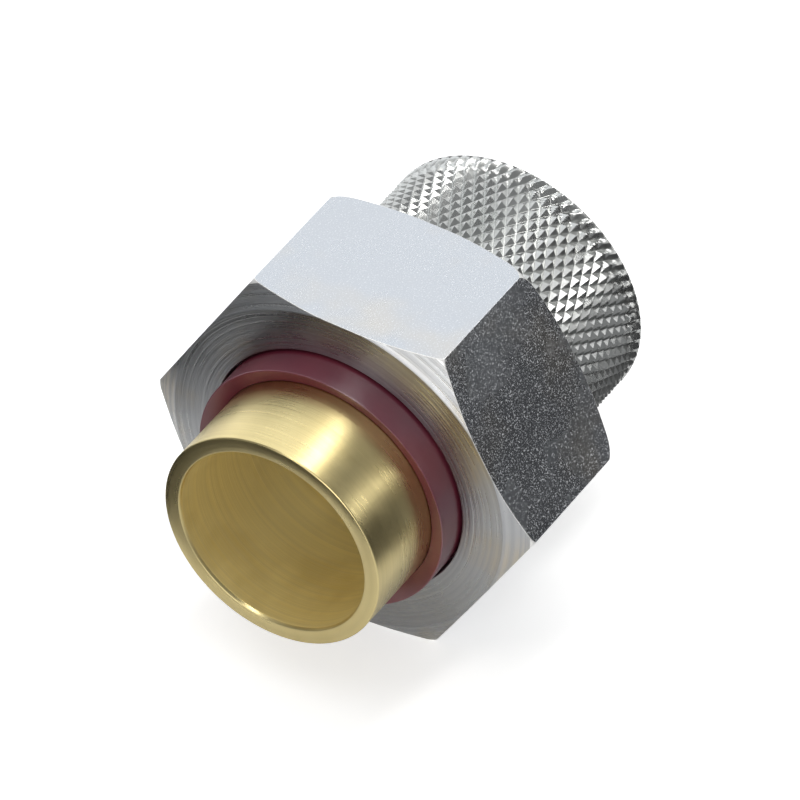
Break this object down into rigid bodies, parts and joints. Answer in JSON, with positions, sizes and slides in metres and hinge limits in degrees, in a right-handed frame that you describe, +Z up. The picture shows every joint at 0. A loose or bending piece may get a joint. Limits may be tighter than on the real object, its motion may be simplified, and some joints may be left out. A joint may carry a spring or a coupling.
{
  "type": "dielectric union",
  "caption": "Pipe union that joins copper tube to threaded steel pipe: a brass solder cup, insulated by a plastic sleeve and a gasket, drawn up by a hexagon nut.",
  "frame": {"origin": "on the surface the union lies on, under the middle of its length: the nut rests on one flat and the pipe axis is 20.0 mm above", "axes": "+X along the pipe axis from the solder cup to the threaded end, +Z up, +Y to the left of +X"},
  "size_m": [0.0486, 0.046, 0.04],
  "materials": {
    "zinc_plated_steel": "bright zinc plating, turned and knurled",
    "turned_brass": "satin, turned",
    "red_plastic": "dark red, semi-gloss",
    "black_rubber": "matt black"
  },
  "bodies": {
    "steel_end": {"threaded_end": "zinc_plated_steel"},
    "seal": {"gasket": "black_rubber"},
    "tail": {"solder_tailpiece": "turned_brass", "insulator": "red_plastic"},
    "nut": {"union_nut": "zinc_plated_steel"}
  },
  "joints": [
    {"name": "tail_draw", "type": "slide", "parent": "steel_end", "child": "seal", "axis": [-1, 0, 0], "range_m": [0, 0.00715]},
    {"name": "nut_turn", "type": "hinge", "parent": "seal", "child": "nut", "pos_m": [0, 0, 0.02], "axis": [-1, 0, 0], "range_deg": [0, 1620]},
    {"name": "tail_swivel", "type": "hinge", "parent": "seal", "child": "tail", "pos_m": [-0.01427, 0, 0.02], "axis": [-1, 0, 0], "continuous": true}
  ],
  "couplings": [
    {"joint": "tail_draw", "follows": "nut_turn", "m_per_rad": 0.00025266}
  ]
}
